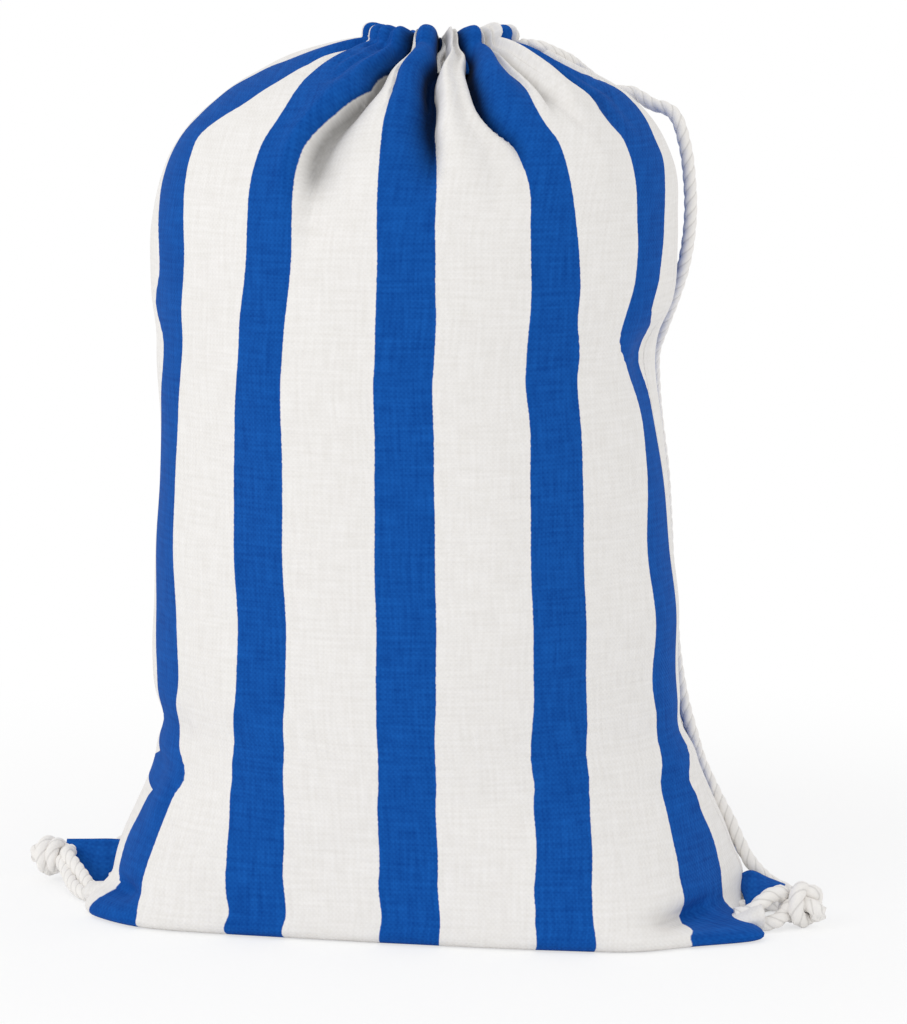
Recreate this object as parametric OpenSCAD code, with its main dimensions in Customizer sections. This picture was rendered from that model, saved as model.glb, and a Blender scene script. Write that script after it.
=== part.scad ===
// Drawstring backpack of striped canvas, stuffed and standing on its base.
// Front is -Y, up is +Z. The origin is on the floor, at the middle of the base.

/* [Bag body] */
// Height of the closed bag from the floor to the top of the gathered mouth
bag_height = 424; // [380:1:480]
// Width of the stuffed body at half height
body_width = 248; // [200:1:280]
// Depth of the stuffed body, front to back
body_depth = 202; // [150:1:230]
// Width of the body at the shoulders
shoulder_width = 254; // [210:1:290]
// How far the shoulders lie below the mouth's cord channel
shoulder_drop = 95; // [70:1:130]
// How far the stuffing pushes the body sideways from the middle of the base
bulge_shift = 15; // [0:1:20]
// How far the stuffing fills out the lower part of the right side
right_fullness = 14; // [0:1:15]

/* [Base] */
// Width of the flat base
base_width = 332; // [290:1:360]
// Depth of the flat base
base_depth = 196; // [150:1:220]
// Height over which the base corners run in to the body
flare_height = 70; // [50:1:110]

/* [Cloth] */
// Thickness of one layer of canvas
cloth_thickness = 1.6; // [1:0.1:2.5]
// Width of the tape that binds each inside seam
tape_width = 8; // [5:0.5:14]
// Thickness of the seam tape
tape_thickness = 1.6; // [1:0.1:3]

/* [Gathered mouth] */
// Width of the cord channel ring, middle to middle of the channel
channel_width = 76; // [66:1:100]
// Depth of the cord channel ring, middle to middle of the channel
channel_depth = 64; // [56:1:90]
// Thickness of the hem above and below the cords
hem_thickness = 1.8; // [1.2:0.1:4]
// Thickness of the gathered cloth on each side of the channel
gather_thickness = 5.4; // [3:0.2:8]
// Number of pleats in each panel
pleat_count = 11; // [7:1:15]
// Depth of the pleats at the mouth
pleat_depth = 3; // [1:0.25:4]
// Room beside the pair of cords where they leave the channel
exit_room = 1.2; // [0.8:0.1:3]

/* [Drawcord] */
// Diameter of the twisted cord
cord_diameter = 6; // [4:0.25:6.5]
// Play between two cords that lie side by side
cord_play = 0.7; // [0.6:0.1:1.2]

/* [Corners] */
// How far each corner patch reaches out past the base
patch_reach = 21; // [19:0.5:30]
// Height of the top edge of the corner patches
patch_height = 18; // [14:0.5:26]
// Thickness of the folded corner patch
patch_thickness = 3.2; // [2:0.2:5]
// Length of the corner loop along the cord
loop_length = 10; // [6:0.5:14]
// Thickness of the corner loop's tape
loop_tape = 1; // [0.8:0.1:2]
// Diameter of the stopper knot
knot_diameter = 17; // [13:0.5:20]
// Length of the stopper knot
knot_length = 15; // [13:0.5:20]
// Length of the cut cord ends past the knot
end_length = 9; // [5:0.5:20]

/* [Hidden] */

// Gap between pieces that lie against each other
clearance = 0.3;
cord_radius = cord_diameter / 2;
left = -1;
right = 1;
canvas_blue = "#1552a8";
canvas_white = "#efeeec";
rope_white = "#e2e0dd";

// Shape of the cord channel at the mouth
channel_half_width = cord_radius + cord_play + gather_thickness;
channel_bore_half = cord_radius + cord_play;
cord_spacing = cord_diameter + cord_play;
channel_bore_height = 2 * cord_diameter + 2 * cord_play;
channel_height = channel_bore_height + 2 * hem_thickness;
channel_z = bag_height - channel_height / 2;
rim_gap = 0.86 * channel_half_width + clearance + 0.2 * cloth_thickness;
neck_half_width = channel_width / 2 + rim_gap;
neck_half_depth = channel_depth / 2 + rim_gap;
left_cord_z = channel_z - cord_spacing / 2;
right_cord_z = channel_z + cord_spacing / 2;
neck_z = left_cord_z - cord_radius - clearance;
shoulder_z = neck_z - shoulder_drop;
neck_shift = 0.2 * bulge_shift;

// Roundness of the outline: corner power along X and along Y, at the base and in the body
front_base_power = 7;
back_base_power = 3.2;
body_power = 2;
base_edge_power = 0.8;
body_edge_power = 0.5;
flare_curve = 0.8;
corner_fade = 0.5;
dome_power = 2.1;
dome_edge = 0.62;
pleat_fade = 1.5;

steps_per_pleat = 4;
columns = pleat_count * steps_per_pleat;
flare_rows = 7;
body_rows = 4;
dome_rows = 9;

// Stations up the bag, closer together where the outline turns
z_rows = concat(
    [for (k = [0:flare_rows - 1]) flare_height * k / flare_rows],
    [for (k = [0:body_rows - 1]) flare_height + (shoulder_z - flare_height) * k / body_rows],
    [for (k = [0:dome_rows]) shoulder_z + shoulder_drop * sin(90 * k / dome_rows)]);
last_row = len(z_rows) - 1;

function smooth(t) = let (c = max(0, min(1, t))) c * c * (3 - 2 * c);
function mix(a, b, t) = a + (b - a) * t;
function unit(v) = v / norm(v);

// How far the dome of the shoulders is still open, 1 at the shoulder and 0 at the neck
function dome_open(z) = let (t = max(0, min(1, (z - shoulder_z) / shoulder_drop)))
    pow(1 - pow(t, dome_power), dome_edge);
function half_width(z) =
    z > shoulder_z ? mix(neck_half_width, shoulder_width / 2, dome_open(z))
    : z > flare_height ? mix(body_width, shoulder_width,
        smooth((z - flare_height) / (shoulder_z - flare_height))) / 2
    : mix(base_width, body_width, pow(smooth(z / flare_height), flare_curve)) / 2;
function half_depth(z) =
    z > shoulder_z ? mix(neck_half_depth, body_depth / 2, dome_open(z))
    : mix(base_depth, body_depth, smooth(z / flare_height)) / 2;
function middle_x(z) = -bulge_shift * smooth(z / flare_height)
    + (bulge_shift - neck_shift) * smooth((z - shoulder_z) / shoulder_drop);
function pleat_amount(z) = pleat_depth * pow(smooth((z - shoulder_z) / shoulder_drop), pleat_fade);

// Share of right_fullness at each height: [height, share]
fullness_shape = [[0, 0], [12, 0], [27, 0.29], [42, 0.64], [57, 1], [71, 1], [86, 0.71], [115, 0.5],
                  [145, 0.5], [204, 0.21], [shoulder_z, 0.21], [shoulder_z + 0.7 * shoulder_drop, 0.28],
                  [shoulder_z + 0.95 * shoulder_drop, 0]];
function side_width(s, z) = half_width(z) + (s > 0 ? right_fullness * lookup(z, fullness_shape) : 0);

// Outward normal of the side profile, as [across, up]
function side_normal(i, s) =
    let (a = z_rows[max(0, i - 1)], b = z_rows[min(last_row, i + 1)])
    unit([b - a, side_width(s, a) - side_width(s, b)]);

// One point of the cloth: angle 0 is the front, 90 the right side seam, 180 the back
function cloth_point(i, angle, depth) =
    let (z = z_rows[i], s = sin(angle), c = cos(angle), n = side_normal(i, s),
         inset = i == 0 ? [depth, depth] : depth * n,
         pleat = pleat_amount(z) * cos(2 * pleat_count * angle),
         a = side_width(s, z) - inset[0] + pleat, b = half_depth(z) - inset[0] + pleat,
         t = smooth(z / flare_height),
         p = mix(c > 0 ? front_base_power : back_base_power, body_power, pow(t, corner_fade)),
         q = mix(base_edge_power, body_edge_power, t),
         y = b * pow(max(0, 1 - pow(abs(s), p)), q))
    [middle_x(z) + a * s, c > 0 ? -y : y, i == 0 ? depth : z - inset[1]];

// Closed skin between an outer and an inner grid of points
module skin(outer, inner, shade) {
    rows = len(outer);
    cols = len(outer[0]);
    total = rows * cols;
    points = concat([for (r = outer) for (p = r) p], [for (r = inner) for (p = r) p]);
    sheets = [for (i = [0:rows - 2]) for (j = [0:cols - 2])
        let (a = i * cols + j, b = a + 1, c = a + cols, d = c + 1)
        each [[a, c, d], [a, d, b], [total + a, total + d, total + c], [total + a, total + b, total + d]]];
    sides = [for (i = [0:rows - 2])
        let (a = i * cols, c = a + cols, b = a + cols - 1, d = b + cols)
        each [[a, total + a, total + c], [a, total + c, c], [b, d, total + d], [b, total + d, total + b]]];
    ends = [for (j = [0:cols - 2])
        let (a = j, b = j + 1, c = (rows - 1) * cols + j, d = c + 1)
        each [[a, b, total + b], [a, total + b, total + a], [c, total + c, total + d], [c, total + d, d]]];
    color(shade) polyhedron(points, concat(sheets, sides, ends));
}

// Half of the bag from the base seam, under the base and up to the mouth
module panel(first_angle) {
    angles = [for (j = [0:columns]) first_angle + 180 * j / columns];
    function seam_row(row) = [for (p = row) [p[0], 0, p[2]]];
    outer_rows = [for (i = [0:last_row]) [for (t = angles) cloth_point(i, t, 0)]];
    inner_rows = [for (i = [0:last_row]) [for (t = angles) cloth_point(i, t, cloth_thickness)]];
    skin(concat([seam_row(outer_rows[0])], outer_rows),
         concat([seam_row(inner_rows[0])], inner_rows), canvas_white);
}

module front_panel() { panel(-90); }
module back_panel() { panel(90); }

// Point of the channel ring at an angle, off the middle of the channel by [across, up]
function channel_point(angle, off) =
    [-neck_shift + (channel_width / 2 + off[0]) * sin(angle),
     -(channel_depth / 2 + off[0]) * cos(angle), channel_z + off[1]];

// Gathered hem with the tunnel that the drawcords run in
module channel(first_angle) {
    gap_angle = asin((cord_spacing + cord_diameter + 2 * exit_room) / channel_depth);
    gap_columns = ceil(gap_angle / (180 / columns));
    profile_steps = 10;
    angles = [for (j = [gap_columns:columns - gap_columns]) first_angle + 180 * j / columns];
    function profile(k, half_w, half_h) = let (a = 360 * k / profile_steps)
        [half_w * sign(cos(a)) * sqrt(abs(cos(a))), half_h * sign(sin(a)) * sqrt(abs(sin(a)))];
    outer = [for (k = [0:profile_steps]) [for (t = angles)
        let (f = profile(k, channel_half_width, channel_height / 2),
             wave = pleat_depth * cos(2 * pleat_count * t))
        channel_point(t, [f[0] + (f[0] > 0 ? wave : 0), f[1]])]];
    inner = [for (k = [0:profile_steps]) [for (t = angles)
        channel_point(t, profile(k, channel_bore_half, channel_bore_height / 2))]];
    ring_skin(outer, inner, canvas_blue);
}

// Tube wall: both grids close on themselves along the profile and are open at the two ends
module ring_skin(outer, inner, shade) {
    rows = len(outer) - 1;
    cols = len(outer[0]);
    total = rows * cols;
    points = concat([for (i = [0:rows - 1]) for (p = outer[i]) p],
                    [for (i = [0:rows - 1]) for (p = inner[i]) p]);
    sheets = [for (i = [0:rows - 1]) for (j = [0:cols - 2])
        let (n = (i + 1) % rows, a = i * cols + j, b = a + 1, c = n * cols + j, d = c + 1)
        each [[a, c, d], [a, d, b], [total + a, total + d, total + c], [total + a, total + b, total + d]]];
    ends = [for (i = [0:rows - 1])
        let (n = (i + 1) % rows, a = i * cols, c = n * cols, b = a + cols - 1, d = c + cols - 1)
        each [[a, total + a, total + c], [a, total + c, c], [b, d, total + d], [b, total + d, total + b]]];
    color(shade) polyhedron(points, concat(sheets, ends));
}

module front_channel() { channel(-90); }
module back_channel() { channel(90); }

// Side of the bag's inside at a station, on the seam line, as [x, z]
function inside_edge(side, i) = let (p = cloth_point(i, side * 90, cloth_thickness)) [p[0], p[2]];

// Tape that binds the raw edges inside a side seam
module side_tape(side) {
    rows = [for (i = [1:last_row - 1]) i];
    outer = [for (i = rows) inside_edge(side, i) - [side * 2 * clearance, 0]];
    inner = [for (k = [len(rows) - 1:-1:0]) outer[k] - [side * tape_width, 0]];
    color(canvas_white) rotate([90, 0, 0]) linear_extrude(tape_thickness, center = true)
        polygon(concat(outer, inner));
}

module left_side_tape() { side_tape(left); }
module right_side_tape() { side_tape(right); }

// Tape that binds the seam across the base
module base_tape() {
    half_length = half_width(2 * tape_width) - bulge_shift * smooth(2 * tape_width / flare_height)
        - cloth_thickness - tape_width - 3 * clearance;
    color(canvas_white) translate([-half_length, -tape_thickness / 2, cloth_thickness])
        cube([2 * half_length, tape_thickness, tape_width]);
}

// Corner loop: a flat eye of tape that both cords of one side pass through
loop_bore_half = cord_radius + cord_play / 2;
loop_half_height = loop_bore_half + loop_tape;
loop_z = loop_half_height + clearance;
loop_reach = base_width / 2 + cord_spacing / 2 + loop_half_height + 2 * clearance;
loop_y = -6;
loop_top = loop_z + loop_half_height;

// Puts a shape at a corner loop, whose cords run front to back
module at_corner(side) {
    translate([side * loop_reach, loop_y, loop_z]) children();
}

module slot(half_height, length) {
    rotate([90, 0, 0]) linear_extrude(length, center = true) union() {
        square([cord_spacing, 2 * half_height], center = true);
        for (s = [-1, 1]) translate([s * cord_spacing / 2, 0]) circle(half_height, $fn = 48);
    }
}

module corner_loop(side) {
    color(rope_white) at_corner(side) difference() {
        slot(loop_half_height, loop_length);
        slot(loop_bore_half, loop_length + 1);
    }
}

module left_corner_loop() { corner_loop(left); }
module right_corner_loop() { corner_loop(right); }

// Folded triangle of canvas sewn into the side seam above the corner loop
module corner_patch(side) {
    low = loop_top + clearance;
    steps = 4;
    root = [for (k = [0:steps]) let (z = mix(low, patch_height, k / steps))
        [side * (side_width(side, z) + clearance) + middle_x(z), z]];
    tip = base_width / 2 + patch_reach;
    color(canvas_blue) rotate([90, 0, 0]) linear_extrude(patch_thickness, center = true)
        polygon(concat(root, [[side * tip, patch_height], [side * (loop_reach + tip) / 2, low]]));
}

module left_corner_patch() { corner_patch(left); }
module right_corner_patch() { corner_patch(right); }

// Tube swept along a path, with eight sides, each ring as wide as radii says
sides = 8;
function tangent(path, i) = unit(path[min(len(path) - 1, i + 1)] - path[max(0, i - 1)]);
function turned(n, t) = unit(n - (n * t) * t);
function first_normal(t) = turned(abs(t[2]) > 0.9 ? [1, 0, 0] : [0, 0, 1], t);
module tube(path, radii) {
    count = len(path);
    normals = [for (i = 0, n = first_normal(tangent(path, 0)); i < count;
        i = i + 1, n = i < count ? turned(n, tangent(path, i)) : n) n];
    points = [for (i = [0:count - 1]) let (t = tangent(path, i), n = normals[i], m = cross(t, n))
        for (k = [0:sides - 1]) path[i] + radii[i] * (n * cos(360 * k / sides) + m * sin(360 * k / sides))];
    walls = [for (i = [0:count - 2]) for (k = [0:sides - 1])
        let (n = (k + 1) % sides, a = i * sides + k, b = i * sides + n, c = a + sides, d = b + sides)
        each [[a, c, d], [a, d, b]]];
    start_cap = [for (k = [0:sides - 1]) k];
    end_cap = [for (k = [sides - 1:-1:0]) (count - 1) * sides + k];
    color(rope_white) polyhedron(points, concat(walls, [start_cap, end_cap]));
}

// A leg has rounded ends, so that it can turn about its two end points
cap_reach = 0.75 * cord_radius;
cap_radius = 0.45 * cord_radius;
module leg(path) {
    count = len(path);
    start = path[0] - cap_reach * unit(path[1] - path[0]);
    end = path[count - 1] + cap_reach * unit(path[count - 1] - path[count - 2]);
    tube(concat([start], path, [end]),
         concat([cap_radius], [for (p = path) cord_radius], [cap_radius]));
}

// Distance from the end point of a leg, which it turns about, to the end of the held cord
end_gap = cord_radius + clearance;
exit_x = channel_width / 2 + channel_half_width + pleat_depth + 2;
right_exit = [exit_x - neck_shift, 0, right_cord_z];
left_exit = [-exit_x - neck_shift, 0, left_cord_z];
function exit_point(side, lane) = (side > 0 ? right_exit : left_exit) - [0, lane * cord_spacing / 2, 0];
function corner_point(side, lane) = [side * (loop_reach + lane * cord_spacing / 2),
    loop_y + loop_length / 2 + clearance + end_gap, loop_z];

// Height of a station: 0 floor, 1 top of the flare, 2 shoulder, 3 neck
function station_height(u) = u < 1 ? u * flare_height
    : u < 2 ? mix(flare_height, shoulder_z, u - 1) : shoulder_z + (u - 2) * shoulder_drop;

// Point beside the bag, given as parts of its half width and half depth at a station
function beside(side, spot) = let (z = station_height(spot[2]))
    [middle_x(z) + side * spot[0] * side_width(side, z), spot[1] * half_depth(z), z];

// Routes of the free legs from the channel down to the corner loop
right_outer_route = [[1.347, 0.000, 3.075], [1.204, 0.419, 2.949], [1.090, 0.476, 2.812],
    [1.136, 0.316, 2.696], [1.110, 0.190, 2.496], [1.088, 0.154, 2.212], [1.042, 0.201, 1.960],
    [0.960, 0.380, 1.837], [0.943, 0.475, 1.648], [1.001, 0.465, 1.369], [1.080, 0.446, 1.082],
    [1.102, 0.469, 0.686], [0.996, 0.426, 0.271], [1.057, 0.255, 0.129]];
right_inner_route = [[1.143, 0.419, 3.086], [0.919, 0.758, 2.886], [0.873, 0.732, 2.549],
    [0.866, 0.674, 2.065], [0.814, 0.723, 1.738], [0.858, 0.703, 1.328], [1.024, 0.693, 1.008],
    [0.919, 0.659, 0.286], [0.959, 0.347, 0.086]];
left_outer_route = [[1.367, 0.000, 3.049], [1.137, 0.580, 2.917], [0.921, 0.698, 2.633],
    [0.821, 0.674, 2.065], [0.839, 0.653, 1.697], [0.859, 0.614, 1.287], [0.903, 0.574, 1.000],
    [0.978, 0.436, 0.286], [1.048, 0.255, 0.129]];
left_inner_route = [[1.122, 0.419, 3.045], [0.852, 0.863, 2.880], [0.675, 0.891, 2.475],
    [0.662, 0.851, 1.943], [0.682, 0.851, 1.615], [0.699, 0.832, 1.246], [0.806, 0.763, 0.943],
    [0.890, 0.660, 0.271], [0.961, 0.347, 0.086]];

module free_leg(side, lane, route) {
    spots = [for (spot = route) beside(side, spot)];
    leg(concat([exit_point(side, lane)], spots, [corner_point(side, lane)]));
}

module right_outer_leg() { free_leg(right, 1, right_outer_route); }
module right_inner_leg() { free_leg(right, -1, right_inner_route); }
module left_outer_leg() { free_leg(left, 1, left_outer_route); }
module left_inner_leg() { free_leg(left, -1, left_inner_route); }

// The held part of a drawcord: once round the channel, and through the corner loop
module drawcord(side, level) {
    turn_steps = 12;
    bow = 0.8 * cord_play;
    start_angle = asin(cord_spacing / channel_depth);
    round_part = [for (k = [0:turn_steps])
        let (a = side * 90 + start_angle + (360 - 2 * start_angle) * k / turn_steps)
        channel_point(a, [bow, level - channel_z])];
    end_x = side * (exit_x - end_gap) - neck_shift;
    tail_y = side * cord_spacing / 2;
    path = concat([[end_x, tail_y, level]], round_part, [[end_x, -tail_y, level]]);
    tube(path, [for (p = path) cord_radius]);
    color(rope_white) at_corner(side) for (lane = [-1, 1])
        translate([lane * cord_spacing / 2, 0, 0]) rotate([90, 0, 0])
            cylinder(r = cord_radius, h = loop_length + 2 * clearance, center = true, $fn = 32);
}

module left_drawcord() { drawcord(left, left_cord_z); }
module right_drawcord() { drawcord(right, right_cord_z); }

// Middle of each stopper knot, and the way its axis points along the floor
knot_z = knot_diameter / 2 + clearance;
knot_front = loop_y - loop_length / 2;
right_knot_middle = [loop_reach + 8.7, knot_front - 20, knot_z];
left_knot_middle = [-loop_reach - 18.7, knot_front - 14, knot_z];
right_knot_turn = -55;
left_knot_turn = -160;

// Two turns of cord pulled tight round each other
knot_wrap = 0.24 * knot_diameter;
module knot(middle, turn) {
    ring_radius = knot_diameter / 2 - knot_wrap;
    lean = knot_length / 2 - knot_wrap;
    color(rope_white) translate(middle) rotate([0, 90, turn]) union() {
        for (s = [-1, 1]) translate([0, 0, s * lean]) rotate_extrude($fn = 48)
            translate([ring_radius, 0]) circle(knot_wrap, $fn = 32);
        cylinder(r = ring_radius, h = 2 * lean, center = true, $fn = 48);
    }
}

module left_knot() { knot(left_knot_middle, left_knot_turn); }
module right_knot() { knot(right_knot_middle, right_knot_turn); }

// Cord from the corner loop into the knot, and the two cut ends that spread past it
end_spread = 22;
module cord_ends(side, middle, turn) {
    for (lane = [-1, 1]) {
        start = [side * loop_reach + lane * cord_spacing / 2, knot_front - end_gap - clearance, loop_z];
        lane_offset = lane * cord_radius / 2 * [-sin(turn), cos(turn), 0];
        inside = middle + lane_offset;
        spread = turn + lane * end_spread;
        tip = inside + (knot_length / 2 + end_length) * [cos(spread), sin(spread), 0];
        tube([start - cap_reach * unit(inside - start), start, inside, tip],
             [cap_radius, cord_radius, cord_radius, cord_radius]);
    }
}

module left_cord_ends() { cord_ends(left, left_knot_middle, left_knot_turn); }
module right_cord_ends() { cord_ends(right, right_knot_middle, right_knot_turn); }

front_panel();
back_panel();
front_channel();
back_channel();
left_side_tape();
right_side_tape();
base_tape();
left_corner_patch();
right_corner_patch();
left_corner_loop();
right_corner_loop();
left_drawcord();
right_drawcord();
left_outer_leg();
left_inner_leg();
right_outer_leg();
right_inner_leg();
left_knot();
right_knot();
left_cord_ends();
right_cord_ends();
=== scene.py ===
# Drawstring backpack: a stuffed bag of striped cotton canvas, gathered at the mouth on two twisted cotton cords
import bpy
import numpy as np
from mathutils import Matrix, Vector


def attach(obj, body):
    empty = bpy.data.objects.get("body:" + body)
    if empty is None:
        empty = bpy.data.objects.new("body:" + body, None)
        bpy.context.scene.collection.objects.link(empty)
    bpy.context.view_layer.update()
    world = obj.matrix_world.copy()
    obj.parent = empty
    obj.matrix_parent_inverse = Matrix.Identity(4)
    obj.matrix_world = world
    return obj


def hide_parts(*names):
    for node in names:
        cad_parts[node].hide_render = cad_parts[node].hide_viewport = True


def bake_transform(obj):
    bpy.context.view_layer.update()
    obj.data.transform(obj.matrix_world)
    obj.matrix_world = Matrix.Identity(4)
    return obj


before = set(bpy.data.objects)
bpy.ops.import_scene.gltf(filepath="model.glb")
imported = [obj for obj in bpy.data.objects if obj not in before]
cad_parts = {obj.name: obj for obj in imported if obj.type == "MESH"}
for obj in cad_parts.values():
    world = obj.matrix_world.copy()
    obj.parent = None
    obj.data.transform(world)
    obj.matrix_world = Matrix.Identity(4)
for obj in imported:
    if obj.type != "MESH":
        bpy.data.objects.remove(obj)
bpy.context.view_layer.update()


def linear(text):
    # an sRGB hex colour as linear red, green, blue and alpha
    c = np.array([int(text[i:i + 2], 16) for i in (1, 3, 5)]) / 255
    return (*np.where(c <= 0.04045, c / 12.92, ((c + 0.055) / 1.055) ** 2.4).tolist(), 1.0)


# camera: long lens, a little to the right and above
camera = dict(azimuth=11.0, elevation=8.5, distance=2.0, lens=145.27, sensor=36.0, target=(0.0078, -0.001, 0.1883))


def addObject(name, data):
    obj = bpy.data.objects.new(name, data)
    bpy.context.scene.collection.objects.link(obj)
    return obj


def makeCamera():
    # on a ball round the target: azimuth turns it to the right of the front, elevation raises it
    a, e = np.radians(camera["azimuth"]), np.radians(camera["elevation"])
    back = Vector((np.sin(a) * np.cos(e), -np.cos(a) * np.cos(e), np.sin(e)))
    data = bpy.data.cameras.new("camera")
    data.lens, data.sensor_width, data.sensor_fit = camera["lens"], camera["sensor"], "AUTO"
    obj = bpy.context.scene.camera = addObject("camera", data)
    obj.location = Vector(camera["target"]) + back * camera["distance"]
    obj.rotation_euler = back.to_track_quat("Z", "Y").to_euler()


def gridMesh(name, points, material, wrap=False, cap=False, flip=False, maps=None):
    # a grid of points (rows, columns) becomes a mesh of four-sided faces; wrap joins the last column to the first,
    # cap closes both ends with a fan, maps are UV grids, one column wider than the points where they wrap
    rows, columns = points.shape[:2]
    across = columns if wrap else columns - 1
    i, j = np.meshgrid(np.arange(rows - 1), np.arange(across), indexing="ij")
    i, j = i.ravel(), j.ravel()
    wide = columns + 1 if wrap else columns
    corners, cells = [np.stack([i * w + j, i * w + right, (i + 1) * w + right, (i + 1) * w + j], -1)
                      for w, right in ((columns, (j + 1) % columns), (wide, j + 1))]
    if flip:
        corners, cells = corners[:, ::-1], cells[:, ::-1]
    vertices = points.reshape(-1, 3)
    faces = corners.tolist()
    loops = cells.ravel()
    if cap:
        # a vertex in the middle of each end, joined to the ring round it
        first, last = len(vertices), len(vertices) + 1
        vertices = np.concatenate([vertices, points[0].mean(axis=0)[None], points[-1].mean(axis=0)[None]])
        k = np.arange(columns)
        n = (k + 1) % columns
        top = (rows - 1) * columns
        faces += np.stack([k, 0 * k + first, n], -1).tolist()
        faces += np.stack([top + k, top + n, 0 * k + last], -1).tolist()
        loops = np.concatenate([loops, np.repeat(k, 3), np.repeat((rows - 1) * wide + k, 3)])
    mesh = bpy.data.meshes.new(name)
    mesh.from_pydata(vertices.tolist(), [], faces)
    for label, grid in (maps or {}).items():
        layer = mesh.uv_layers.new(name=label)
        layer.data.foreach_set("uv", grid.reshape(-1, 2)[loops].astype(np.float32).ravel())
    mesh.polygons.foreach_set("use_smooth", np.ones(len(mesh.polygons), dtype=bool))
    mesh.materials.append(material)
    mesh.update()
    return addObject(name, mesh)


def thicken(obj, thickness, offset=-1.0):
    # gives a surface its wall: inwards at offset -1, half to each side at 0
    wall = obj.modifiers.new("thickness", "SOLIDIFY")
    wall.thickness, wall.offset, wall.use_even_offset = thickness, offset, False


def joinPieces(name, parts):
    # several meshes become one object
    for p in parts:
        p.select_set(True)
    with bpy.context.temp_override(active_object=parts[0], selected_editable_objects=parts, selected_objects=parts):
        bpy.ops.object.join()
    parts[0].name = parts[0].data.name = name
    return parts[0]


def node(tree, kind, inputs=(), **settings):
    # adds a shader node, the second word of whose kind is its operation, and sets its properties; an input, in order
    # or by name, is given a value or linked to a socket or to the first output of a node
    n = tree.nodes.new("ShaderNode" + kind.split()[0])
    for word in kind.split()[1:]:
        n.operation = word
    for key, value in settings.items():
        setattr(n, key, value)
    for key, value in inputs.items() if isinstance(inputs, dict) else enumerate(inputs):
        if isinstance(value, bpy.types.Node):
            value = value.outputs[0]
        if isinstance(value, bpy.types.NodeSocket):
            tree.links.new(value, n.inputs[key])
        else:
            n.inputs[key].default_value = value
    return n


def emptyTree(block):
    # the node tree of a material or a world, cleared
    block.use_nodes = True
    block.node_tree.nodes.clear()
    return block.node_tree


# striped canvas: plain-woven cotton dyed in the yarn, matt; its threads are drawn 1.15 mm apart, twice the real
# distance, so that the weave shows; its two shade shares, one for white and one for blue, are painted shade: the share
# of light taken from the colour at the bottom of a gather
canvas = dict(blue="#175db3", blueDeep="#094392", white="#f3f1ef", whiteWarm="#e6e3df", pitch=0.0724, width=0.0284,
              thread=0.00115, slub=0.02, slubWidth=1.6, edgeWander=0.0001, edgeSoft=0.0002, roughness=0.92, sheen=0.03,
              toneFrom=0.45, toneTo=1.15, paintedShadeWhite=0.5, paintedShadeBlue=0.36, bump=0.35, relief=0.00022)

# tape: narrow woven cotton; cord: three twisted strands of cotton yarn, with the number of yarns round a strand, the
# length of one turn of them, and fibres per metre
tape = dict(colour="#eceae6", valley="#dcd9d4", thread=0.001, roughness=0.9, sheen=0.1, bump=0.4, relief=0.0002)
# the cord's groove colour is painted shade, laid from grooveFrom into the grooves between its strands
cord = dict(colour="#f6f3ef", groove="#d9d6d2", yarn=7.0, yarnPitch=0.004, fuzz=900.0, grooveFrom=0.36,
            roughness=0.95, sheen=0.2, bump=0.35, relief=0.00022)


def startMaterial(name, facts):
    # a matt cotton shader with a little sheen, joined to the material's output
    m = bpy.data.materials.new(name)
    t = emptyTree(m)
    shader = node(t, "BsdfPrincipled", {"Roughness": facts["roughness"], "Sheen Weight": facts["sheen"],
                                        "Sheen Roughness": 0.5, "Specular IOR Level": 0.05, "IOR": 1.5})
    node(t, "OutputMaterial", {"Surface": shader})
    return m, t, shader


def finishMaterial(t, shader, facts, colour, height):
    # the colour goes into the shader, and the height becomes a bump
    bump = node(t, "Bump", {"Strength": facts["bump"], "Distance": facts["relief"], "Height": height})
    t.links.new(colour, shader.inputs["Base Color"])
    t.links.new(bump.outputs[0], shader.inputs["Normal"])


def weightedSum(t, a, shareA, b, shareB):
    # two values, each times its share, added
    parts = [node(t, "Math MULTIPLY", [value, share]) for value, share in ((a, shareA), (b, shareB))]
    return node(t, "Math ADD", parts)


def weave(t, xy, thread):
    # height of a plain weave, a checker of rounded crossings one thread apart: the sine of x times the sine of y
    turns = [node(t, "Math MULTIPLY", [xy.outputs[axis], np.pi / thread]) for axis in ("X", "Y")]
    return node(t, "Math MULTIPLY", [node(t, "Math SINE", [turn]) for turn in turns])


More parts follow.
